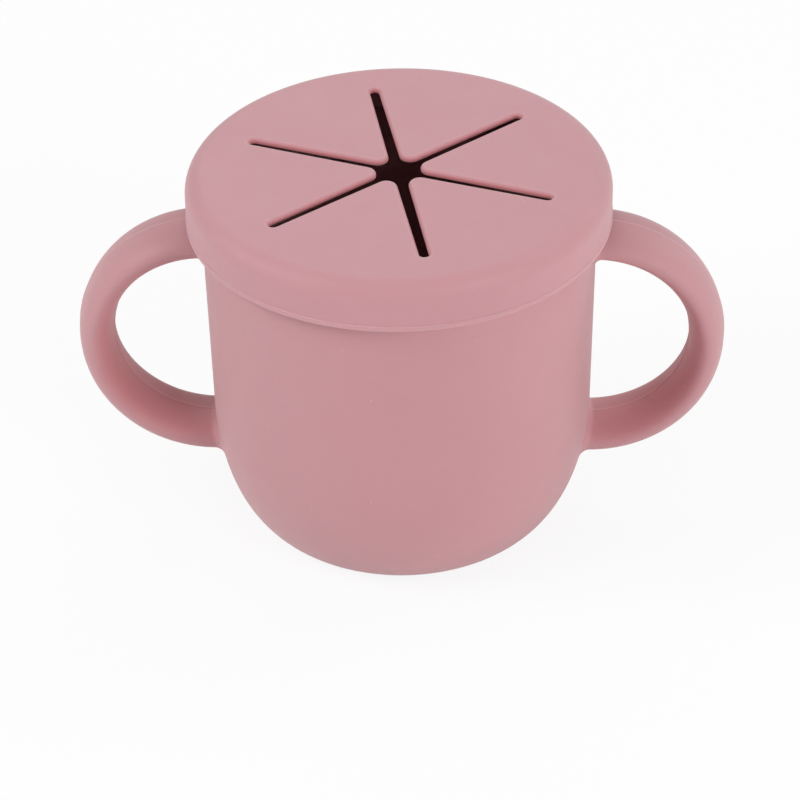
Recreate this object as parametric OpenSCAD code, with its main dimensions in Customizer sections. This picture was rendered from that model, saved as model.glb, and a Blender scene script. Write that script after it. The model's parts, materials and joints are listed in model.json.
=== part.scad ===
// Soft silicone snack cup for a toddler: a round-bottomed cup with a loop handle on each side,
// and a press-on lid whose flat top is slit into six springy flaps that a small hand pushes past.
// Millimetres, +Z up. The origin is the middle of the flat base, and +X runs through the right handle.

/* [Cup] */
// Outside diameter of the cup at its mouth
mouth_d = 81.9; // [66:0.1:102]
// Outside diameter where the straight wall meets the rounded bottom
belly_d = 80.6; // [66:0.1:102]
// Height of the cup without its lid
cup_h = 80.5; // [64:0.1:100]
// Height of the rounded bottom
bottom_h = 28.3; // [18:0.1:36]
// Diameter of the flat that the cup stands on
base_d = 55.7; // [40:0.1:70]
// Thickness of the wall
wall_t = 2.6; // [1.8:0.1:3.6]
// Thickness of the floor
floor_t = 3; // [2:0.1:5]
// Radius of the rounded edges of the rim
rim_round = 1; // [0.4:0.1:1.2]

/* [Handles] */
// Height of the lowest point of the loop
loop_foot = 14.5; // [8:0.1:24]
// How far the middle of the loop sits inside the wall
loop_sink = 0.3; // [0:0.1:3]
// Thickness of the grip, across the loop
grip_t = 7.5; // [5:0.1:10]
// Width of the grip, from front to back
grip_w = 16.2; // [10:0.1:22]

/* [Lid] */
// Thickness of the top over the rim
top_t = 2.2; // [1.6:0.1:3.2]
// Thickness of the middle of the top, which the slits cut into flaps
panel_t = 1.4; // [1:0.1:1.6]
// Thickness of the skirt that hangs over the rim
skirt_t = 2.7; // [2:0.1:4]
// Height of the lid, from the hem of its skirt to its top
lid_h = 10.5; // [8:0.1:16]
// Radius of the soft outer edge of the top
edge_round = 4; // [1.5:0.1:5]
// Height of the raised hem round the foot of the skirt
hem_h = 1.1; // [0.6:0.1:2]
// How far the hem stands out from the skirt
hem_out = 0.15; // [0.05:0.05:0.4]
// Thickness of the ring that plugs into the mouth
plug_t = 2; // [1.4:0.1:3]
// How far the ring reaches down into the mouth
plug_h = 4.6; // [3:0.1:8]

/* [Flaps] */
// Width of the slits at their outer ends
slit_w = 2; // [1:0.1:3]
// How much wider they would be where they meet
slit_flare = 0.4; // [0:0.1:1]
// Distance from the ends of the slits to the plug ring
slit_margin = 2.9; // [1:0.1:6]
// Radius of the rounded tips of the flaps
tip_round = 2.3; // [1:0.1:4]
// Direction of the first slit, in degrees from +X
slit_turn = -19.2; // [-60:0.1:60]

/* [Clearances] */
// Gap between the top of the handles and the lid's hem
loop_gap = 1.5; // [0.5:0.1:6]
// Gap between the skirt and the cup's wall
skirt_gap = 0.35; // [0.2:0.05:0.8]
// Gap between the plug ring and the inside of the mouth
plug_gap = 0.3; // [0.2:0.05:0.8]
// Gap between the lid and the rim that it rests on
seat_gap = 0.1; // [0.05:0.05:0.3]
// Gap round the rounded root of each flap
root_gap = 0.3; // [0.15:0.05:0.6]

/* [Hidden] */

flap_count = 6;
flap_angle = 360 / flap_count;
arc_steps = 12;
bottom_steps = 20;
oval_steps = 32;
overcut = 1;
// How far past a half turn the loop runs, so that it is cut off by the wall on every side
loop_overrun = 15;
silicone = [0.78, 0.60, 0.63];

mouth_r = mouth_d / 2;
belly_r = belly_d / 2;
base_r = base_d / 2;
bore_r = mouth_r - wall_t;
wall_slope = (mouth_r - belly_r) / (cup_h - rim_round - bottom_h);

lid_under_z = cup_h + seat_gap;
lid_top_z = lid_under_z + top_t;
lid_foot_z = lid_top_z - lid_h;
panel_z = lid_top_z - panel_t;
plug_foot_z = lid_under_z - plug_h;
// The skirt and the plug ring are upright, so each clears the sloping wall where that comes nearest
skirt_bore_r = max(mouth_r, wall_r(lid_foot_z)) + skirt_gap;
plug_r = min(bore_r, wall_r(plug_foot_z) - wall_t) - plug_gap;
hem_r = skirt_bore_r + skirt_t;
skirt_r = hem_r - hem_out;
plug_bore_r = plug_r - plug_t;

// The loop stands between its foot and the lid's hem; its radius is to the middle of the grip
loop_r = (lid_foot_z - loop_gap - loop_foot - grip_t) / 2;
loop_z = loop_foot + grip_t / 2 + loop_r;
loop_x = wall_r(loop_z) - loop_sink;

// The slits end in half circles, and each flap bends on the chord between two of their centres
slit_end_r = plug_bore_r - slit_margin - slit_w / 2;
root_x = slit_end_r * cos(flap_angle / 2);
root_z = lid_top_z - panel_t / 2;
root_half = root_x * tan(flap_angle / 2) - slit_w / 2 / cos(flap_angle / 2);
// Where the two sides of a flap would meet, half the angle between them, and the centre of its round tip
flap_apex_x = (slit_w + slit_flare) / 2 / sin(flap_angle / 2);
side_turn = atan(root_half / (root_x - flap_apex_x));
tip_x = flap_apex_x + tip_round / sin(side_turn);

// Outside radius of the straight wall at the height z
function wall_r(z) = belly_r + (z - bottom_h) * wall_slope;

// Points round an oval centred on c, with half widths a, from one angle to another
function oval_points(c, a, from, to, steps) = [
    for (i = [0:steps])
        let (t = from + (to - from) * i / steps)
        [c.x + a.x * cos(t), c.y + a.y * sin(t)]
];

// Half outline of the cup, closed to the axis, drawn in by a wall and a floor thickness
function cup_outline(wall, floor) = concat(
    [[0, floor]],
    oval_points([base_r, bottom_h], [belly_r - base_r - wall, bottom_h - floor], -90, 0, bottom_steps)
);

module cup_body() {
    rotate_extrude()
        polygon(concat(
            cup_outline(0, 0),
            oval_points([mouth_r - rim_round, cup_h - rim_round], [rim_round, rim_round], 0, 90, arc_steps),
            [[0, cup_h]]
        ));
}

module cup_hollow() {
    rotate_extrude()
        polygon(concat(
            cup_outline(wall_t, floor_t),
            [[bore_r, cup_h - rim_round]],
            oval_points([bore_r + rim_round, cup_h - rim_round], [rim_round, rim_round], 180, 90, arc_steps),
            [[bore_r + rim_round, cup_h + overcut], [0, cup_h + overcut]]
        ));
}

module cup_shell() {
    color(silicone)
        difference() {
            cup_body();
            cup_hollow();
        }
}

// One loop handle on +X, its grip an oval swept round the loop and cut off at the cup's wall
module loop_handle() {
    difference() {
        translate([loop_x, 0, loop_z])
            rotate([90, 0, 0])
                rotate([0, 0, -90 - loop_overrun])
                    rotate_extrude(angle = 180 + 2 * loop_overrun)
                        translate([loop_r, 0])
                            polygon([
                                for (i = [0:oval_steps - 1])
                                    let (t = 360 * i / oval_steps)
                                    [grip_t / 2 * cos(t), grip_w / 2 * sin(t)]
                            ]);
        cup_body();
    }
}

module handle_right() {
    color(silicone)
        loop_handle();
}

module handle_left() {
    color(silicone)
        rotate([0, 0, 180])
            loop_handle();
}

// Rounded outer skin of the lid, from the hem up and over to the middle of the top
function lid_outline() = concat(
    [[hem_r, lid_foot_z], [hem_r, lid_foot_z + hem_h], [skirt_r, lid_foot_z + hem_h + hem_out]],
    oval_points(
        [skirt_r - edge_round, lid_top_z - edge_round], [edge_round, edge_round], 0, 90, arc_steps
    ),
    [[0, lid_top_z]]
);

// Under side of the lid: the thin middle, the plug ring, and outside it the groove that the rim goes into
function lid_under_outline() = [
    [0, panel_z],
    [plug_bore_r, panel_z],
    [plug_bore_r, plug_foot_z],
    [plug_r, plug_foot_z],
    [plug_r, lid_under_z],
    [skirt_bore_r, lid_under_z],
    [skirt_bore_r, lid_foot_z]
];

// The six-sided window that the flaps close, with the rounded ends of the slits at its corners
module flap_window() {
    corners = [
        for (i = [0:flap_count - 1])
            let (turn = slit_turn + i * flap_angle)
            slit_end_r * [cos(turn), sin(turn)]
    ];
    translate([0, 0, panel_z - overcut])
        linear_extrude(panel_t + 2 * overcut) {
            polygon(corners);
            for (corner = corners)
                translate(corner)
                    circle(d = slit_w, $fn = 48);
        }
}

// A round bar along the bending line of one flap
module root_bar(i, radius, length) {
    rotate([0, 0, slit_turn + (i - 0.5) * flap_angle])
        translate([root_x, 0, root_z])
            rotate([90, 0, 0])
                cylinder(r = radius, h = length, center = true, $fn = 48);
}

module lid_cap() {
    color(silicone)
        difference() {
            rotate_extrude()
                polygon(concat(lid_outline(), lid_under_outline()));
            flap_window();
            for (i = [1:flap_count])
                root_bar(i, panel_t / 2 + root_gap, slit_end_r);
        }
}

// Flap i fills its share of the window, and its root is the round bar that it bends on
module flap(i) {
    color(silicone)
        union() {
            rotate([0, 0, slit_turn + (i - 0.5) * flap_angle])
                translate([0, 0, panel_z])
                    linear_extrude(panel_t)
                        polygon(concat(
                            oval_points(
                                [tip_x, 0], [tip_round, tip_round],
                                90 + side_turn, 270 - side_turn, arc_steps
                            ),
                            [[root_x, -root_half], [root_x, root_half]]
                        ));
            root_bar(i, panel_t / 2, 2 * root_half);
        }
}

cup_shell();
handle_left();
handle_right();
lid_cap();
flap(1);  // flap_1
flap(2);  // flap_2
flap(3);  // flap_3
flap(4);  // flap_4
flap(5);  // flap_5
flap(6);  // flap_6
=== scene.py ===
"""Looks of a soft silicone snack cup: a round-bottomed cup with two loop handles and a slit press-on lid."""

import json
import math

import bmesh
import bpy
from bpy.props import FloatProperty, FloatVectorProperty, PointerProperty
from mathutils import Matrix, Vector


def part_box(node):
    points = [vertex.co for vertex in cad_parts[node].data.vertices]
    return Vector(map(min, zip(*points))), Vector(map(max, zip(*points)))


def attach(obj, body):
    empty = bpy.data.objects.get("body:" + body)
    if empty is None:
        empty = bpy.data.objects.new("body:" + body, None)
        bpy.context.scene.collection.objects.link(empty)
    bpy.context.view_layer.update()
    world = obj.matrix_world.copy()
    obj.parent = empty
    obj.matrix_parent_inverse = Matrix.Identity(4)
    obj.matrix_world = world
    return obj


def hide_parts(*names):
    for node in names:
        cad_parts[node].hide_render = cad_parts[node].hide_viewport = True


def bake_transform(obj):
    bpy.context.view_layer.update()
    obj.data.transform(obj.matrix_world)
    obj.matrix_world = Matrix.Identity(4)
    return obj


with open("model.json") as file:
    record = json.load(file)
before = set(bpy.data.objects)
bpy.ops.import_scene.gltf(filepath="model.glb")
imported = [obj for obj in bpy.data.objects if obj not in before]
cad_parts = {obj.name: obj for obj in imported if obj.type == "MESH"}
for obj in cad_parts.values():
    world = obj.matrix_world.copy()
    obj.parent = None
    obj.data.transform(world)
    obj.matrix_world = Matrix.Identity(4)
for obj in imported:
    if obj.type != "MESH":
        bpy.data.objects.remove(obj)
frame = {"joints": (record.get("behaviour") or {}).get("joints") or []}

bl_info = {
    "name": "Silicone Snack Cup",
    "version": (1, 0, 0),
    "blender": (4, 5, 0),
    "location": "View3D > Sidebar > Snack Cup",
    "description": "Models a silicone snack cup with two loop handles and a slit lid, and sets up its stage",
    "category": "Object",
}

MM = 0.001
FLAP_COUNT = 6
FLAP_ANGLE = math.tau / FLAP_COUNT

# Places that the frame gives
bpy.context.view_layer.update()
CUP_LOW, CUP_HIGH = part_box("cup_shell")
LID_LOW, LID_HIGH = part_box("lid_cap")
GRIP_LOW, GRIP_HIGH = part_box("handle_right")
FLAP_BENDS = {joint["child"]: joint for joint in frame["joints"] if joint["type"] == "hinge"}

# How finely round shapes are divided, and how near two places are the same
TURN_STEPS = 192
ROUND_STEPS = 8
SAME = 1e-6

# Mesh attribute of painted light: above 0 a painted highlight, below 0 how deep a painted shade tone is
# where shade falls
PAINTED_LIGHT = "painted_highlight_and_shade"


# ---------------------------------------------------------------------------------------------
# Sizes and colours
# ---------------------------------------------------------------------------------------------


def length(name, default, description):
    """A size in metres."""
    return FloatProperty(
        name=name, description=description, default=default, min=0.0, precision=5, unit="LENGTH"
    )


def portion(name, default, description):
    """A value from 0 to 1."""
    return FloatProperty(name=name, description=description, default=default, min=0.0, max=1.0)


def angle(name, degrees, description):
    """An angle, given in degrees."""
    return FloatProperty(
        name=name, description=description, default=math.radians(degrees), subtype="ANGLE"
    )


def tone(name, default, description):
    """A colour that a user may change, given as sRGB numbers up to 255."""
    return FloatVectorProperty(
        name=name,
        description=description,
        subtype="COLOR",
        size=3,
        min=0.0,
        max=1.0,
        default=[scene_value(part) for part in default],
    )


def scene_value(part):
    """One sRGB channel from 0 to 255 as a linear value."""
    part /= 255
    return part / 12.92 if part <= 0.04045 else ((part + 0.055) / 1.055) ** 2.4


class CupSizes(bpy.types.PropertyGroup):
    """Sizes of the cup"""

    mouth_r: length("Mouth radius", CUP_HIGH.x, "Outside radius of the cup at its rim")
    belly_r: length("Belly radius", 40.3 * MM, "Outside radius where the rounded bottom begins")
    height: length("Height", CUP_HIGH.z, "Height of the cup without its lid")
    bottom_h: length("Bottom height", 28.3 * MM, "Height of the rounded bottom")
    base_r: length("Base radius", 27.85 * MM, "Radius of the flat that the cup stands on")
    wall: length("Wall", 2.6 * MM, "Thickness of the wall")
    floor: length("Floor", 3 * MM, "Thickness of the floor")
    rim_round: length("Rim round", 1 * MM, "Radius of the rounded edges of the rim")
    seam_w: length("Seam width", 0.3 * MM, "Width of the fine line where the mould halves met")
    seam_h: length("Seam height", 0.05 * MM, "Height of that line on the cup")


class HandleSizes(bpy.types.PropertyGroup):
    """Sizes of the handles"""

    grip_t: length("Grip thickness", 7.5 * MM, "Thickness of the grip, across the loop")
    grip_w: length("Grip width", GRIP_HIGH.y - GRIP_LOW.y, "Width of the grip, from front to back")
    root_round: length("Root round", 1.8 * MM, "Radius that blends the grip into the wall")
    seam_h: length("Seam height", 0.1 * MM, "Height of the mould line round the grip")
    # Painted shade: a deeper, redder tone inside the loops, where shade falls
    inside_shade: portion("Inside tone", 0.55, "How deep the tone is inside the loops")


class LidSizes(bpy.types.PropertyGroup):
    """Sizes of the lid"""

    hem_r: length("Hem radius", LID_HIGH.y, "Outside radius of the hem round the skirt's foot")
    hem_h: length("Hem height", 1.1 * MM, "Height of that hem")
    hem_out: length("Hem step", 0.15 * MM, "How far the hem stands out from the skirt")
    hem_round: length("Hem round", 0.45 * MM, "Radius of the hem's lower edge")
    edge_round: length("Edge round", 4 * MM, "Radius of the soft outer edge of the top")
    panel_t: length("Panel thickness", 1.4 * MM, "Thickness of the middle of the top, which is slit")
    top_t: length("Top thickness", 2.2 * MM, "Thickness of the top over the rim")
    skirt_t: length("Skirt thickness", 2.7 * MM, "Thickness of the skirt")
    plug_r: length("Plug radius", 38 * MM, "Outside radius of the ring that plugs into the mouth")
    plug_t: length("Plug thickness", 2 * MM, "Thickness of that ring")
    plug_h: length("Plug height", 4.6 * MM, "How far that ring reaches down")
    slit_w: length("Slit width", 2 * MM, "Width of the slits at their outer ends")
    slit_flare: length("Slit flare", 0.4 * MM, "How much wider the slits would be where they meet")
    slit_round: length("Slit round", 0.95 * MM, "Width of the rounded upper edges of the slits")
    slit_depth: length("Slit depth", 0.8 * MM, "Depth of those rounded edges")
    under_round: length("Under round", 0.3 * MM, "Radius of the lower edges of the slits")
    # Painted light on the slits: a painted highlight on the crest of the upper edges, and a painted shade
    # tone down in the slits
    crest_highlight: portion("Crest tone", 0.08, "How pale the upper edges of the slits are")
    lip_shade: portion("Lip tone", 1, "How deep the tone is down in the slits")
    tip_round: length("Tip round", 2.3 * MM, "Radius of the tips of the flaps, seen from above")
    bend_length: length("Bend length", 9 * MM, "How much of a flap bends when it is pushed")


class SiliconeFinish(bpy.types.PropertyGroup):
    """Colour and skin of the silicone"""

    cup_color: tone("Cup colour", (191, 139, 144), "Colour of the cup and its handles")
    lid_color: tone("Lid colour", (192, 140, 146), "Colour of the lid")
    roughness: portion("Roughness", 0.58, "How matt the skin is")
    bloom: portion("Bloom", 0.25, "How dusty and velvety the skin is")


class StageSettings(bpy.types.PropertyGroup):
    """Camera and light"""

    azimuth: angle("Azimuth", 2.275, "How far the camera stands to the right of the front")
    elevation: angle("Elevation", 35.98, "How steeply the camera looks down")
    roll: angle("Roll", 1.02, "Tilt of the picture")
    distance: length("Distance", 645.9 * MM, "From the camera to the point that it looks at")
    aim_side: length("Aim aside", 0.51 * MM, "How far that point is to the left of the cup's axis")
    aim_z: length("Aim height", 24.24 * MM, "Height of that point")
    lens: FloatProperty(
        name="Lens", description="Focal length in mm on a 36 mm sensor", default=134.7, min=1
    )
    world_level: FloatProperty(
        name="World level", description="Strength of the light from all round", default=0.43, min=0
    )


# ---------------------------------------------------------------------------------------------
# Mesh helpers
# ---------------------------------------------------------------------------------------------


def arc(centre, radii, start, end, steps=ROUND_STEPS):
    """Points (r, z) round an oval from one angle to another, in degrees."""
    turns = [math.radians(start + (end - start) * i / steps) for i in range(steps + 1)]
    return [(centre[0] + radii[0] * math.cos(t), centre[1] + radii[1] * math.sin(t)) for t in turns]


def quarter(r, z, radius, start, end, steps=ROUND_STEPS):
    """Points (r, z) of a quarter round about a centre."""
    return arc((r, z), (radius, radius), start, end, steps)


def revolve(bm, outline):
    """Turns an outline of points (r, z) all the way round the axis of the cup."""
    verts = [bm.verts.new((r, 0, z)) for r, z in outline]
    edges = [bm.edges.new(pair) for pair in zip(verts, verts[1:])]
    bmesh.ops.spin(
        bm, geom=verts + edges, cent=(0, 0, 0), axis=(0, 0, 1), angle=math.tau,
        steps=TURN_STEPS, use_merge=True,
    )
    bmesh.ops.remove_doubles(bm, verts=bm.verts, dist=SAME)


def extrude_levels(bm, rings, highlight_and_shade):
    """Draws the first ring and extrudes it through the others, each with its value of painted highlight and
    shade from the list.

    Gives the first and the last ring's edges.
    """
    order = bm.verts.layers.int.new("order")
    painted = bm.verts.layers.float.new(PAINTED_LIGHT)
    verts = [bm.verts.new(point) for point in rings[0]]
    for i, vert in enumerate(verts):
        vert[order] = i
        vert[painted] = highlight_and_shade[0]
    first = [bm.edges.new((verts[i - 1], verts[i])) for i in range(len(verts))]
    last = first
    for points, value in zip(rings[1:], highlight_and_shade[1:]):
        made = bmesh.ops.extrude_edge_only(bm, edges=last)["geom"]
        last = [item for item in made if isinstance(item, bmesh.types.BMEdge)]
        last = [edge for edge in last if edge.is_boundary]
        for vert in {vert for edge in last for vert in edge.verts}:
            vert.co = points[vert[order]]
            vert[painted] = value
    return first, last


def raise_seam(bm, edges, width, height, lift):
    """Raises a fine mould line along edges in the plane Y = 0. lift(vert) points out of the surface."""
    made = bmesh.ops.bevel(
        bm, geom=edges, offset=width / 2, offset_type="OFFSET", affect="EDGES",
        segments=4, profile=0.5, material=-1,
    )
    for vert in made["verts"]:
        share = min(abs(vert.co.y) / (width / 2), 1)
        vert.co += lift(vert) * height * (1 + math.cos(share * math.pi)) / 2


def finish_piece(bm, name, material, sharp_angle=math.radians(50)):
    """Makes the mesh an object with soft shading, crisp only across its real corners."""
    bmesh.ops.recalc_face_normals(bm, faces=bm.faces)
    for face in bm.faces:
        face.smooth = True
    for edge in bm.edges:
        edge.smooth = edge.is_boundary or edge.calc_face_angle(0) < sharp_angle
    mesh = bpy.data.meshes.new(name)
    bm.to_mesh(mesh)
    bm.free()
    mesh.materials.append(material)
    piece = bpy.data.objects.new(name, mesh)
    bpy.context.scene.collection.objects.link(piece)
    level = piece.modifiers.new("even_shading", "WEIGHTED_NORMAL")
    level.mode = "FACE_AREA"
    level.keep_sharp = True
    return piece


# ---------------------------------------------------------------------------------------------
# Materials
# ---------------------------------------------------------------------------------------------


def skin_group():
    """Node group: the skin of moulded silicone, cloudy and grainy, with lint, pale lines for mould lines and
    painted highlights, and a painted shade tone.
    """
    group = bpy.data.node_groups.get("silicone_skin")
    if group:
        return group
    group = bpy.data.node_groups.new("silicone_skin", "ShaderNodeTree")
    sockets = [
        ("Color", "NodeSocketColor", (0.5, 0.3, 0.3, 1)),
        ("Cloud", "NodeSocketFloat", 0.03),
        ("Lint", "NodeSocketFloat", 0.3),
        ("Line", "NodeSocketFloat", 0.0),
        ("Painted Shade", "NodeSocketFloat", 0.0),
        ("Roughness", "NodeSocketFloat", 0.55),
        ("Grain", "NodeSocketFloat", 0.1),
    ]
    for name, kind, value in sockets:
        socket = group.interface.new_socket(name, in_out="INPUT", socket_type=kind)
        socket.default_value = value
    group.interface.new_socket("Color", in_out="OUTPUT", socket_type="NodeSocketColor")
    group.interface.new_socket("Roughness", in_out="OUTPUT", socket_type="NodeSocketFloat")
    group.interface.new_socket("Normal", in_out="OUTPUT", socket_type="NodeSocketVector")
    nodes, link = group.nodes, group.links.new
    inputs = nodes.new("NodeGroupInput")
    outputs = nodes.new("NodeGroupOutput")
    place = nodes.new("ShaderNodeTexCoord").outputs["Object"]

    def noise(scale, detail=2.0):
        node = nodes.new("ShaderNodeTexNoise")
        node.inputs["Scale"].default_value = scale
        node.inputs["Detail"].default_value = detail
        link(place, node.inputs["Vector"])
        return node.outputs["Fac"]

    def calc(operation, a, b=0.0, c=0.0, clamp=False):
        node = nodes.new("ShaderNodeMath")
        node.operation = operation
        node.use_clamp = clamp
        for slot, value in zip(node.inputs, (a, b, c)):
            if isinstance(value, bpy.types.NodeSocket):
                link(value, slot)
            else:
                slot.default_value = value
        return node.outputs[0]

    # Cloudy tone, a few centimetres across, with a finer mottle in it: paler places are less full in colour
    cloud_scale, mottle_scale, mottle_share = 45, 420, 0.35
    middle = (1 + mottle_share) / 2
    cloud = calc("ADD", noise(cloud_scale, 3), calc("MULTIPLY", noise(mottle_scale), mottle_share))
    shift = calc("MULTIPLY", calc("SUBTRACT", cloud, middle), inputs.outputs["Cloud"])
    fullness_per_shift = -1.6

    # Painted shade: where shade falls inside the loops and down in the slits, the colour is made a little
    # warmer, brighter and fuller, standing in for the redder light that bounces between the silicone
    # surfaces there
    deep = inputs.outputs["Painted Shade"]
    deep_hue, deep_value, deep_fullness, plain_hue = 0.009, 0.12, 0.28, 0.5
    fuller = calc("MULTIPLY_ADD", deep, deep_fullness, 1.0)
    toned = nodes.new("ShaderNodeHueSaturation")
    link(inputs.outputs["Color"], toned.inputs["Color"])
    link(calc("MULTIPLY_ADD", deep, deep_hue, plain_hue), toned.inputs["Hue"])
    link(calc("MULTIPLY_ADD", deep, deep_value, calc("ADD", shift, 1.0)), toned.inputs["Value"])
    link(calc("MULTIPLY_ADD", shift, fullness_per_shift, fuller), toned.inputs["Saturation"])

    # Lint and dust: a few pale specks, each much smaller than its cell
    cells = nodes.new("ShaderNodeTexVoronoi")
    cells.inputs["Scale"].default_value = 230
    link(place, cells.inputs["Vector"])
    speck = nodes.new("ShaderNodeMapRange")
    speck.interpolation_type = "SMOOTHSTEP"
    link(cells.outputs["Distance"], speck.inputs["Value"])
    for name, number in (("From Min", 0.022), ("From Max", 0.05), ("To Min", 1), ("To Max", 0)):
        speck.inputs[name].default_value = number
    picked = nodes.new("ShaderNodeSeparateColor")
    link(cells.outputs["Color"], picked.inputs["Color"])
    empty_cells = 0.62
    few = calc("GREATER_THAN", picked.outputs["Red"], empty_cells)
    lint = calc("MULTIPLY", calc("MULTIPLY", speck.outputs["Result"], few), inputs.outputs["Lint"])

    # Lint specks, mould lines and painted highlights all mix towards this pale silicone
    pale_silicone = (0.86, 0.68, 0.7, 1)
    mix = nodes.new("ShaderNodeMix")
    mix.data_type = "RGBA"
    below, above = [socket for socket in mix.inputs if socket.type == "RGBA"]
    link(calc("ADD", lint, inputs.outputs["Line"], clamp=True), mix.inputs["Factor"])
    link(toned.outputs["Color"], below)
    above.default_value = pale_silicone
    link(next(out for out in mix.outputs if out.type == "RGBA"), outputs.inputs["Color"])

    # Roughness varies with the mottle; the grain is a fine sand-blasted texture
    rough_scale, rough_span, grain_scale, speck_height = 160, 0.22, 2600, 0.4
    unevenness = calc("SUBTRACT", noise(rough_scale, 3), 0.5)
    rough = calc("MULTIPLY_ADD", unevenness, rough_span, inputs.outputs["Roughness"])
    link(rough, outputs.inputs["Roughness"])
    grain = nodes.new("ShaderNodeBump")
    grain.inputs["Distance"].default_value = 0.03 * MM
    link(inputs.outputs["Grain"], grain.inputs["Strength"])
    specks = calc("MULTIPLY", speck.outputs["Result"], speck_height)
    link(calc("ADD", noise(grain_scale), specks), grain.inputs["Height"])
    link(grain.outputs["Normal"], outputs.inputs["Normal"])
    return group


def line_group():
    """Node group: a fine pale line where a coordinate has a given value, for a mould line along a moulding
    or a painted highlight along an edge.
    """
    group = bpy.data.node_groups.get("mould_and_highlight_line")
    if group:
        return group
    group = bpy.data.node_groups.new("mould_and_highlight_line", "ShaderNodeTree")
    for name, value in (("Coordinate", 0.0), ("Place", 0.0), ("Half Width", 0.0001), ("Strength", 0.3)):
        socket = group.interface.new_socket(name, in_out="INPUT", socket_type="NodeSocketFloat")
        socket.default_value = value
    group.interface.new_socket("Line", in_out="OUTPUT", socket_type="NodeSocketFloat")
    nodes, link = group.nodes, group.links.new
    inputs, outputs = nodes.new("NodeGroupInput"), nodes.new("NodeGroupOutput")
    away = nodes.new("ShaderNodeMath")
    away.operation = "SUBTRACT"
    link(inputs.outputs["Coordinate"], away.inputs[0])
    link(inputs.outputs["Place"], away.inputs[1])
    near = nodes.new("ShaderNodeMath")
    near.operation = "ABSOLUTE"
    link(away.outputs[0], near.inputs[0])
    fade = nodes.new("ShaderNodeMapRange")
    fade.interpolation_type = "SMOOTHSTEP"
    link(near.outputs[0], fade.inputs["Value"])
    link(inputs.outputs["Half Width"], fade.inputs["From Max"])
    link(inputs.outputs["Strength"], fade.inputs["To Min"])
    fade.inputs["To Max"].default_value = 0
    link(fade.outputs["Result"], outputs.inputs["Line"])
    return group


def silicone(name, color, axis="Z", lines=()):
    """Matt silicone with pale lines, each given as its place on the axis, half width and strength, and with
    the painted highlight and painted shade of the mesh attribute.
    """
    material = bpy.data.materials.get(name)
    if material:
        return material
    finish = bpy.context.scene.snack_finish
    material = bpy.data.materials.new(name)
    material.use_nodes = True
    nodes, link = material.node_tree.nodes, material.node_tree.links.new
    shader = nodes["Principled BSDF"]
    surface = nodes.new("ShaderNodeGroup")
    surface.node_tree = skin_group()
    surface.inputs["Color"].default_value = (*color, 1)
    surface.inputs["Roughness"].default_value = finish.roughness
    for socket, target in (("Color", "Base Color"), ("Roughness", "Roughness"), ("Normal", "Normal")):
        link(surface.outputs[socket], shader.inputs[target])
    aside = nodes.new("ShaderNodeSeparateXYZ")
    link(nodes.new("ShaderNodeTexCoord").outputs["Object"], aside.inputs["Vector"])
    # The mesh attribute carries painted highlight (above 0, added to the pale lines) and painted shade
    # (below 0, fed to the shade tone)
    painted = nodes.new("ShaderNodeAttribute")
    painted.attribute_name = PAINTED_LIGHT
    deep = nodes.new("ShaderNodeMath")
    deep.operation = "MULTIPLY"
    deep.use_clamp = True
    deep.inputs[1].default_value = -1
    link(painted.outputs["Fac"], deep.inputs[0])
    link(deep.outputs[0], surface.inputs["Painted Shade"])
    marks = [painted.outputs["Fac"]]
    for place, half_width, strength in lines:
        line = nodes.new("ShaderNodeGroup")
        line.node_tree = line_group()
        line.inputs["Place"].default_value = place
        line.inputs["Half Width"].default_value = half_width
        line.inputs["Strength"].default_value = strength
        link(aside.outputs[axis], line.inputs["Coordinate"])
        marks.append(line.outputs["Line"])
    while len(marks) > 1:
        both = nodes.new("ShaderNodeMath")
        both.operation = "MAXIMUM"
        link(marks.pop(), both.inputs[0])
        link(marks.pop(), both.inputs[1])
        marks.append(both.outputs[0])
    link(marks[0], surface.inputs["Line"])
    shader.inputs["IOR"].default_value = 1.45
    shader.inputs["Subsurface Weight"].default_value = 0.12
    shader.inputs["Subsurface Radius"].default_value = (1.0, 0.35, 0.3)
    shader.inputs["Subsurface Scale"].default_value = 2 * MM
    shader.inputs["Sheen Weight"].default_value = finish.bloom
    shader.inputs["Sheen Roughness"].default_value = 0.5
    return material


def cup_silicone():
    """The cup's material."""
    return silicone("matt_silicone_cup", bpy.context.scene.snack_finish.cup_color)


def handle_silicone():
    """The handles' material, with the line where the mould halves met."""
    color = bpy.context.scene.snack_finish.cup_color
    return silicone("matt_silicone_handle", color, "Y", [(0.0, 0.2 * MM, 0.3)])


def lid_silicone():
    """The lid's and the flaps' material, with a painted highlight on the hem: a paler band and a pale line
    along each of its edges.
    """
    lid, color = bpy.context.scene.snack_lid, bpy.context.scene.snack_finish.lid_color
    foot = LID_LOW.z
    return silicone("matt_silicone_lid", color, "Z", [
        # Painted highlights: a slightly paler hem band, and a pale line along the hem's upper and lower
        # edges
        (foot + lid.hem_h / 2, 0.65 * MM, 0.06),
        (foot + lid.hem_h + lid.hem_out / 2, 0.25 * MM, 0.12),
        (foot + 0.1 * MM, 0.25 * MM, 0.15),
    ])


# ---------------------------------------------------------------------------------------------
# Cup and handles
# ---------------------------------------------------------------------------------------------


def cup_outline(cup, wall, floor):
    """Half outline of the rounded bottom, drawn in by a wall and a floor thickness."""
    radii = (cup.belly_r - cup.base_r - wall, cup.bottom_h - floor)
    return [(0, floor), *arc((cup.base_r, cup.bottom_h), radii, -90, 0, 3 * ROUND_STEPS)]


def wall_radius(cup, z):
    """Outside radius of the cup at a height up to its rim."""
    if z >= cup.bottom_h:
        slope = (cup.mouth_r - cup.belly_r) / (cup.height - cup.rim_round - cup.bottom_h)
        return cup.belly_r + (z - cup.bottom_h) * slope
    share = 1 - max(z, 0.0) / cup.bottom_h
    return cup.base_r + (cup.belly_r - cup.base_r) * math.sqrt(1 - share * share)


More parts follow.
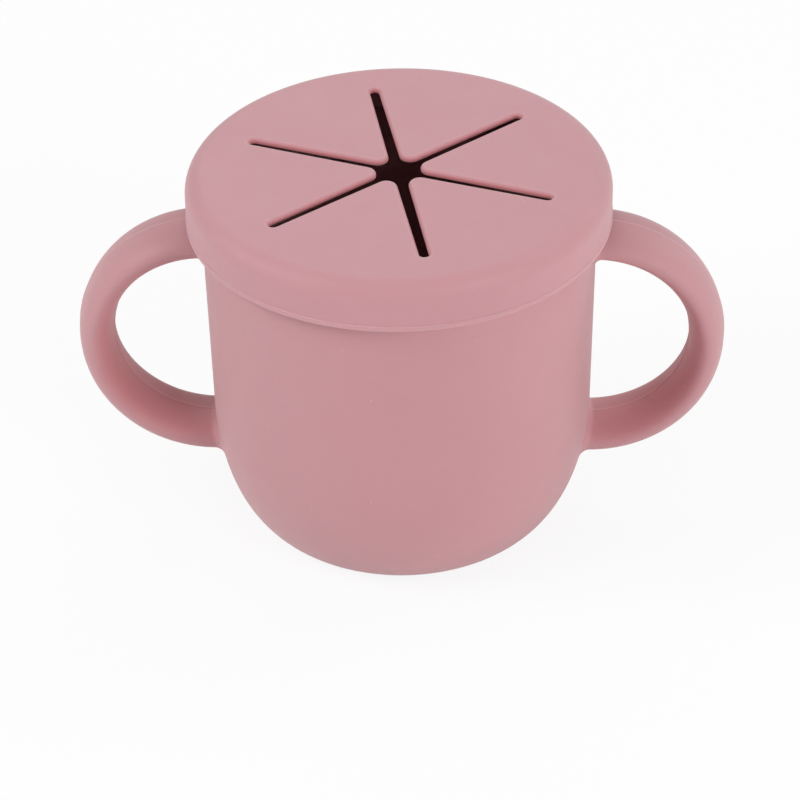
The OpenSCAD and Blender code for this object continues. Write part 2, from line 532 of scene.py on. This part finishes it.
class SNACKCUP_OT_cup(bpy.types.Operator):
    """Model the cup with its wall, rounded bottom, rim and mould line"""

    bl_idname = "snackcup.cup"
    bl_label = "Cup"

    def execute(self, context):
        cup = context.scene.snack_cup
        inner_r = cup.mouth_r - cup.wall
        rim = (cup.rim_round, cup.rim_round)
        rim_z = cup.height - cup.rim_round
        outline = cup_outline(cup, 0, 0)
        outline += arc((cup.mouth_r - cup.rim_round, rim_z), rim, 0, 90)
        outline += arc((inner_r + cup.rim_round, rim_z), rim, 90, 180)
        outline += reversed(cup_outline(cup, cup.wall, cup.floor))
        bm = bmesh.new()
        revolve(bm, outline)

        def outside(vert):
            on_wall = math.hypot(*vert.co.xy) > wall_radius(cup, vert.co.z) - 0.01 * MM
            return on_wall and abs(vert.co.y) < SAME

        seam = [
            edge for edge in bm.edges
            if all(outside(v) and 0 < v.co.z <= rim_z + SAME for v in edge.verts)
        ]
        raise_seam(bm, seam, cup.seam_w, cup.seam_h, lambda v: Vector((math.copysign(1, v.co.x), 0, 0)))
        piece = finish_piece(bm, "cup", cup_silicone())
        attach(piece, "cup")
        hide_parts("cup_shell")
        return {"FINISHED"}


class GripShape:
    """The loop of one handle on +X, and how it runs into the wall of the cup."""

    # Steps round the grip, along the plain loop, where it bends onto the wall, and from there into the wall
    SECTION_STEPS = 64
    LOOP_STEPS = 96
    BLEND_STEPS = 8
    ROOT_STEPS = BLEND_STEPS + 2
    # Steps from the wall over which the painted shade tone inside the loop sets in
    FADE_STEPS = 18
    # How far the loop runs each way from its outermost point, and how often that is halved to find the wall
    REACH = math.radians(115)
    HALVINGS = 40
    # How far a place has to stand out from the wall to carry the grip's mould line
    SEAM_CLEAR = 0.1 * MM

    def __init__(self, cup, handle):
        self.cup = cup
        self.thick = handle.grip_t / 2 - handle.seam_h
        self.wide = handle.grip_w / 2
        self.blend = handle.root_round
        self.apron = handle.root_round / 4
        self.sink = cup.wall / 3
        self.loop_r = (GRIP_HIGH.z - GRIP_LOW.z - handle.grip_t) / 2
        centre_x = GRIP_HIGH.x - handle.grip_t / 2 - self.loop_r
        self.centre = Vector((centre_x, 0, (GRIP_LOW.z + GRIP_HIGH.z) / 2))
        self.steps = self.LOOP_STEPS + 2 * self.ROOT_STEPS

    def point(self, turn, section):
        """A point of the plain loop: turn runs round the loop, section round the oval of the grip."""
        r = self.loop_r + self.thick * math.cos(section)
        y = self.wide * math.sin(section)
        return self.centre + Vector((r * math.cos(turn), y, r * math.sin(turn)))

    def inside(self, point):
        """How far a point is inside the wall's outer face."""
        return wall_radius(self.cup, point.z) - math.hypot(point.x, point.y)

    def wall_turn(self, section, end):
        """The turn at which one line along the grip meets the wall, at its upper (1) or lower (-1) end."""
        near, far = 0.0, end * self.REACH
        for _ in range(self.HALVINGS):
            middle = (near + far) / 2
            if self.inside(self.point(middle, section)) > 0:
                far = middle
            else:
                near = middle
        return (near + far) / 2

    def outward(self, point):
        """The wall's outward direction at a point on it."""
        step = 0.05 * MM
        above, below = (wall_radius(self.cup, point.z + way * step) for way in (1, -1))
        level = Vector((point.x, point.y, 0)).normalized()
        return (level - Vector((0, 0, (above - below) / (2 * step)))).normalized()

    def root_point(self, section, end, stage):
        """A point of the root, by its stage.

        Stages up to BLEND_STEPS bend onto the wall, the next lies on it, and the last is inside it.
        """
        turn = self.wall_turn(section, end)
        foot = self.point(turn, section)
        along = self.point(turn - end * self.blend / self.loop_r, section) - foot
        across = Vector((
            math.cos(section) / self.thick * math.cos(turn),
            math.sin(section) / self.wide,
            math.cos(section) / self.thick * math.sin(turn),
        ))
        wall = self.outward(foot)
        away = (across - across.dot(wall) * wall).normalized()
        bend = min(stage / self.BLEND_STEPS, 1) * math.pi / 2
        point = foot + (1 - math.sin(bend)) * along + (1 - math.cos(bend)) * self.blend * away
        if stage < self.BLEND_STEPS:
            return point
        if stage > self.BLEND_STEPS:
            point += self.apron * away
        above_wall = 0.01 * MM if stage < self.ROOT_STEPS else -self.sink
        return point + (self.inside(point) + above_wall) * self.outward(point)

    def lift(self, vert):
        """The way out of the grip at a vertex in the plane Y = 0."""
        spoke = vert.co - self.centre
        spoke.y = 0
        return spoke.normalized() * math.copysign(1, spoke.length - self.loop_r)

    def painted_shade_share(self, step, section):
        """How squarely the tube looks into the loop there, from 0 to 1, fading towards the wall: the share
        of painted shade tone.
        """
        inward = -math.cos(section) * self.wide
        squarely = max(0.0, inward / math.hypot(inward, math.sin(section) * self.thick))
        return squarely * min(1.0, step / self.FADE_STEPS, (self.steps - step) / self.FADE_STEPS)

    def place(self, step, section):
        """Where a vertex of the spun tube goes, by its step from the lower to the upper end."""
        if step < self.ROOT_STEPS:
            return self.root_point(section, -1, self.ROOT_STEPS - step)
        if step > self.steps - self.ROOT_STEPS:
            return self.root_point(section, 1, step - self.steps + self.ROOT_STEPS)
        margin = self.blend / self.loop_r
        low = self.wall_turn(section, -1) + margin
        high = self.wall_turn(section, 1) - margin
        return self.point(low + (high - low) * (step - self.ROOT_STEPS) / self.LOOP_STEPS, section)


class SNACKCUP_OT_handles(bpy.types.Operator):
    """Model the two loop handles, blended into the wall, with their mould line"""

    bl_idname = "snackcup.handles"
    bl_label = "Handles"

    def execute(self, context):
        cup, handle = context.scene.snack_cup, context.scene.snack_handles
        shape = GripShape(cup, handle)
        for side, name in ((1, "right"), (-1, "left")):
            bm = bmesh.new()
            self.spin_tube(bm, shape, handle.inside_shade)
            seam = [
                edge for edge in bm.edges
                if all(abs(v.co.y) < SAME and shape.inside(v.co) < -shape.SEAM_CLEAR for v in edge.verts)
            ]
            raise_seam(bm, seam, cup.seam_w, handle.seam_h, shape.lift)
            if side < 0:
                half_turn = Matrix.Rotation(math.pi, 3, "Z")
                bmesh.ops.rotate(bm, verts=bm.verts, cent=(0, 0, 0), matrix=half_turn)
            piece = finish_piece(bm, f"handle_{name}_grip", handle_silicone())
            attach(piece, "cup")
            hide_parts(f"handle_{name}")
        return {"FINISHED"}

    def spin_tube(self, bm, shape, deep):
        """Spins the oval of the grip into a loop, then slides its rings so that the ends fit the wall."""
        oval = Matrix.Translation((shape.loop_r, 0, 0)) @ Matrix.Diagonal((shape.thick, shape.wide, 1, 1))
        start = Matrix.Translation(shape.centre) @ Matrix.Rotation(shape.REACH, 4, "Y") @ oval
        ring = bmesh.ops.create_circle(bm, segments=shape.SECTION_STEPS, radius=1, matrix=start)["verts"]
        edges = bm.edges[:]
        bmesh.ops.edgeloop_fill(bm, edges=edges)
        bmesh.ops.spin(
            bm, geom=ring + edges, cent=shape.centre, axis=(0, -1, 0), angle=2 * shape.REACH,
            steps=shape.steps,
        )
        bmesh.ops.edgeloop_fill(bm, edges=[edge for edge in bm.edges if edge.is_boundary])
        painted = bm.verts.layers.float.new(PAINTED_LIGHT)
        for vert in bm.verts:
            spoke = vert.co - shape.centre
            turn = math.atan2(spoke.z, spoke.x)
            outer = (math.hypot(spoke.x, spoke.z) - shape.loop_r) / shape.thick
            section = math.atan2(spoke.y / shape.wide, outer)
            step = round((turn + shape.REACH) / (2 * shape.REACH) * shape.steps)
            vert.co = shape.place(step, section)
            # Painted shade tone inside the loop, stored as a negative value
            vert[painted] = -deep * shape.painted_shade_share(step, section)


# ---------------------------------------------------------------------------------------------
# Lid and flaps
# ---------------------------------------------------------------------------------------------


class SlitShape:
    """Where the slits run, and the rounded edges that they give the lid and its flaps."""

    def __init__(self, lid):
        self.lid = lid
        first = FLAP_BENDS["flap_1"]
        self.root_x = math.hypot(*first["pos_m"][:2])
        self.slit_end_r = self.root_x / math.cos(FLAP_ANGLE / 2)
        self.turn = math.atan2(first["pos_m"][1], first["pos_m"][0]) - FLAP_ANGLE / 2
        self.top = LID_HIGH.z
        self.under = LID_HIGH.z - lid.panel_t
        apex_x = (lid.slit_w + lid.slit_flare) / 2 / math.sin(FLAP_ANGLE / 2)
        self.side_turn = math.atan(self.root_y(0) / (self.root_x - apex_x))
        self.tip_x = apex_x + lid.tip_round / math.sin(self.side_turn)

    def root_y(self, wider):
        """Half the width of a flap at its root."""
        half = self.lid.slit_w / 2 + wider
        return self.root_x * math.tan(FLAP_ANGLE / 2) - half / math.cos(FLAP_ANGLE / 2)

    def levels(self):
        """How much wider than the plain slit its edges are, and at which height, from the top down."""
        wide, deep, under = self.lid.slit_round, self.lid.slit_depth, self.lid.under_round
        upper = arc((wide, self.top - deep), (wide, deep), 90, 180)
        lower = arc((under, self.under + under), (under, under), 180, 270, ROUND_STEPS // 2)
        return upper + lower

    def highlight_and_shade(self):
        """The painted light on each of those levels: a painted highlight on the crest of the upper edge, and
        a painted shade deepening down to the lip.
        """
        crest, lip = self.lid.crest_highlight, -self.lid.lip_shade
        # Painted highlight on the crest, then painted shade down to the lip
        upper = [0, crest / 2, crest, crest / 2]
        upper += [lip * step / (ROUND_STEPS - 3) for step in range(1, ROUND_STEPS - 2)]
        lower = [lip] * (ROUND_STEPS // 2 + 1)
        return upper + lower

    def window(self, wider, z):
        """The ring round the opening that the flaps close: rounded slit ends joined by straight roots."""
        half = self.lid.slit_w / 2 + wider
        back = half * math.tan(FLAP_ANGLE / 2)
        points = []
        for k in range(FLAP_COUNT):
            slit_end = [(self.slit_end_r - back, -half)]
            slit_end += arc((self.slit_end_r, 0), (half, half), -90, 90, 2 * ROUND_STEPS)
            slit_end += [(self.slit_end_r - back, half)]
            turn = Matrix.Rotation(self.turn + k * FLAP_ANGLE, 3, "Z")
            points += [turn @ Vector((u, w, z)) for u, w in slit_end]
        return points

    def flap(self, k, wider, z):
        """The ring round flap k, from 1 up."""
        tip = self.lid.tip_round - wider
        sweep = 90 + math.degrees(self.side_turn)
        outline = [(self.root_x, -self.root_y(wider))]
        outline += arc((self.tip_x, 0), (tip, tip), 360 - sweep, sweep, 2 * ROUND_STEPS)
        outline += [(self.root_x, self.root_y(wider))]
        turn = Matrix.Rotation(self.turn + (k - 0.5) * FLAP_ANGLE, 3, "Z")
        return [turn @ Vector((x, y, z)) for x, y in outline]


def lid_outline(lid):
    """Outline of the lid's skin, from its flat top over the edge and back under to the flat."""
    top, foot = LID_HIGH.z, LID_LOW.z
    under = top - lid.top_t
    skirt_r = lid.hem_r - lid.hem_out
    bore_r = lid.plug_r - lid.plug_t
    flat_margin, soft, soft_steps = 1.2 * MM, 0.5 * MM, ROUND_STEPS // 2
    flat_r = bore_r - flat_margin
    groove_r = lid.hem_r - lid.skirt_t
    plug_z = under - lid.plug_h
    edge, hem = lid.edge_round, lid.hem_round
    outline = [(flat_r, top)]
    outline += quarter(skirt_r - edge, top - edge, edge, 90, 0, 2 * ROUND_STEPS)
    outline += quarter(skirt_r, foot + lid.hem_h, lid.hem_out, 90, 0, 3)
    outline += quarter(lid.hem_r - hem, foot + hem, hem, 0, -90)
    outline += quarter(groove_r + soft, foot + soft, soft, 270, 180, soft_steps)
    outline += [(groove_r, under), (lid.plug_r, under)]
    outline += quarter(lid.plug_r - soft, plug_z + soft, soft, 0, -90, soft_steps)
    outline += quarter(bore_r + soft, plug_z + soft, soft, 270, 180, soft_steps)
    outline += [(bore_r, top - lid.panel_t), (flat_r, top - lid.panel_t)]
    return outline


class SNACKCUP_OT_lid(bpy.types.Operator):
    """Model the lid with its soft edge, skirt, hem, plug ring and the rounded ends of its slits"""

    bl_idname = "snackcup.lid"
    bl_label = "Lid"

    def execute(self, context):
        lid = context.scene.snack_lid
        slits = SlitShape(lid)
        bm = bmesh.new()
        revolve(bm, lid_outline(lid))
        top_rim, under_rim = [
            [e for e in bm.edges if e.is_boundary and all(abs(v.co.z - z) < SAME for v in e.verts)]
            for z in (slits.top, slits.under)
        ]
        rings = [slits.window(wider, z) for wider, z in slits.levels()]
        ring_top, ring_under = extrude_levels(bm, rings, slits.highlight_and_shade())
        for edges in (top_rim + ring_top, under_rim + ring_under):
            bmesh.ops.triangle_fill(bm, edges=edges, use_beauty=True, use_dissolve=False)
        piece = finish_piece(bm, "lid", lid_silicone())
        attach(piece, "lid")
        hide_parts("lid_cap")
        return {"FINISHED"}


class SNACKCUP_OT_flaps(bpy.types.Operator):
    """Model the flaps between the slits, each cut across into narrow strips near its root"""

    bl_idname = "snackcup.flaps"
    bl_label = "Flaps"

    CUT_STEP = 0.6 * MM

    def execute(self, context):
        lid = context.scene.snack_lid
        slits = SlitShape(lid)
        for k in range(1, FLAP_COUNT + 1):
            name = f"flap_{k}"
            root = Vector(FLAP_BENDS[name]["pos_m"])
            inward = Vector((-root.x, -root.y, 0)).normalized()
            bm = bmesh.new()
            rings = [slits.flap(k, wider, z) for wider, z in slits.levels()]
            for ring in extrude_levels(bm, rings, slits.highlight_and_shade()):
                bmesh.ops.edgeloop_fill(bm, edges=ring)
            cuts = int(lid.bend_length / self.CUT_STEP)
            for cut in range(1, cuts + 1):
                bmesh.ops.bisect_plane(
                    bm, geom=bm.verts[:] + bm.edges[:] + bm.faces[:],
                    plane_co=root + inward * cut * self.CUT_STEP, plane_no=inward,
                )
            piece = finish_piece(bm, f"{name}_petal", lid_silicone())
            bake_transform(piece)
            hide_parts(name)
        return {"FINISHED"}


# ---------------------------------------------------------------------------------------------
# Stage
# ---------------------------------------------------------------------------------------------


# How much of the floor's look is plain white, with the rest left for its shadow
WHITENESS = 0.87


def floor_material():
    """A pale floor that looks white to the camera and still keeps a soft shadow."""
    material = bpy.data.materials.new("pale_floor")
    material.use_nodes = True
    nodes, link = material.node_tree.nodes, material.node_tree.links.new
    nodes.clear()
    paper = nodes.new("ShaderNodeBsdfDiffuse")
    paper.inputs["Color"].default_value = (0.88, 0.88, 0.88, 1)
    glow = nodes.new("ShaderNodeEmission")
    path = nodes.new("ShaderNodeLightPath")
    share = nodes.new("ShaderNodeMath")
    share.operation = "MULTIPLY"
    share.inputs[1].default_value = WHITENESS
    link(path.outputs["Is Camera Ray"], share.inputs[0])
    mix = nodes.new("ShaderNodeMixShader")
    link(share.outputs[0], mix.inputs["Fac"])
    link(paper.outputs[0], mix.inputs[1])
    link(glow.outputs[0], mix.inputs[2])
    out = nodes.new("ShaderNodeOutputMaterial")
    link(mix.outputs[0], out.inputs["Surface"])
    return material


def world_light(level):
    """Even light from all round, seen as white by the camera."""
    world = bpy.data.worlds.new("studio")
    bpy.context.scene.world = world
    world.use_nodes = True
    nodes, link = world.node_tree.nodes, world.node_tree.links.new
    background = nodes["Background"]
    background.inputs["Color"].default_value = (1, 1, 1, 1)
    path = nodes.new("ShaderNodeLightPath")
    strength = nodes.new("ShaderNodeMix")
    strength.inputs["A"].default_value = level
    strength.inputs["B"].default_value = 1.0
    link(path.outputs["Is Camera Ray"], strength.inputs["Factor"])
    link(strength.outputs["Result"], background.inputs["Strength"])


def soft_light(name, azimuth, elevation, power, size=0.5, distance=1.1):
    """A square soft box that shines at the cup from a direction in degrees, counted from the front."""
    data = bpy.data.lights.new(name, "AREA")
    data.size = size
    data.energy = power
    turn, height = math.radians(azimuth), math.radians(elevation)
    away = Vector((
        math.sin(turn) * math.cos(height), -math.cos(turn) * math.cos(height), math.sin(height)
    ))
    light = bpy.data.objects.new(name, data)
    light.location = away * distance + Vector((0, 0, CUP_HIGH.z / 2))
    light.rotation_mode = "QUATERNION"
    light.rotation_quaternion = (-away).to_track_quat("-Z", "Y")
    bpy.context.scene.collection.objects.link(light)


class SNACKCUP_OT_stage(bpy.types.Operator):
    """Set up the pale floor, the soft lights and the camera"""

    bl_idname = "snackcup.stage"
    bl_label = "Stage"

    def execute(self, context):
        scene, stage = context.scene, context.scene.snack_stage
        self.make_camera(scene, stage)
        bm = bmesh.new()
        bmesh.ops.create_grid(bm, x_segments=4, y_segments=4, size=3.0)
        bmesh.ops.translate(bm, verts=bm.verts, vec=(0, 0, -0.02 * MM))
        mesh = bpy.data.meshes.new("floor")
        bm.to_mesh(mesh)
        bm.free()
        mesh.materials.append(floor_material())
        floor = bpy.data.objects.new("floor", mesh)
        scene.collection.objects.link(floor)
        world_light(stage.world_level)
        soft_light("front_right", azimuth=45, elevation=25, power=5.5)
        soft_light("left", azimuth=-75, elevation=38, power=5.9)
        soft_light("back_right", azimuth=120, elevation=35, power=2.3)
        soft_light("back", azimuth=-170, elevation=42, power=1.3)
        scene.view_settings.view_transform = "Standard"
        return {"FINISHED"}

    def make_camera(self, scene, stage):
        """The photograph's view: a long lens, a little to the right, looking down on the lid."""
        cos_e, sin_e = math.cos(stage.elevation), math.sin(stage.elevation)
        cos_a, sin_a = math.cos(stage.azimuth), math.sin(stage.azimuth)
        back = Vector((sin_a * cos_e, -cos_a * cos_e, sin_e))
        aim = Vector((-stage.aim_side * cos_a, -stage.aim_side * sin_a, stage.aim_z))
        level = Vector((0, 0, 1)).cross(back).normalized()
        right = Matrix.Rotation(-stage.roll, 3, back) @ level
        up = back.cross(right)
        data = bpy.data.cameras.new("camera")
        data.sensor_width = 36
        data.lens = stage.lens
        camera = bpy.data.objects.new("camera", data)
        camera.matrix_world = Matrix.Translation(aim + back * stage.distance) @ Matrix(
            (right, up, back)
        ).transposed().to_4x4()
        scene.collection.objects.link(camera)
        scene.camera = camera


# ---------------------------------------------------------------------------------------------
# Panel and registration
# ---------------------------------------------------------------------------------------------

BUILD_ORDER = ("stage", "cup", "handles", "lid", "flaps")


class SNACKCUP_PT_panel(bpy.types.Panel):
    """Buttons and sizes of the snack cup"""

    bl_label = "Snack Cup"
    bl_space_type = "VIEW_3D"
    bl_region_type = "UI"
    bl_category = "Snack Cup"

    def draw(self, context):
        for name in BUILD_ORDER:
            self.layout.operator(f"snackcup.{name}")
        for settings in SETTINGS:
            box = self.layout.box()
            group = getattr(context.scene, settings)
            for prop in group.__annotations__:
                box.prop(group, prop)


SETTINGS = {
    "snack_cup": CupSizes,
    "snack_handles": HandleSizes,
    "snack_lid": LidSizes,
    "snack_finish": SiliconeFinish,
    "snack_stage": StageSettings,
}
CLASSES = (
    *SETTINGS.values(),
    SNACKCUP_OT_cup,
    SNACKCUP_OT_handles,
    SNACKCUP_OT_lid,
    SNACKCUP_OT_flaps,
    SNACKCUP_OT_stage,
    SNACKCUP_PT_panel,
)


def register():
    for cls in CLASSES:
        bpy.utils.register_class(cls)
    for name, cls in SETTINGS.items():
        setattr(bpy.types.Scene, name, PointerProperty(type=cls))


def unregister():
    for name in SETTINGS:
        delattr(bpy.types.Scene, name)
    for cls in reversed(CLASSES):
        bpy.utils.unregister_class(cls)


def main():
    """Builds the stage and every piece."""
    register()
    for name in BUILD_ORDER:
        getattr(bpy.ops.snackcup, name)()


if __name__ == "__main__":
    main()
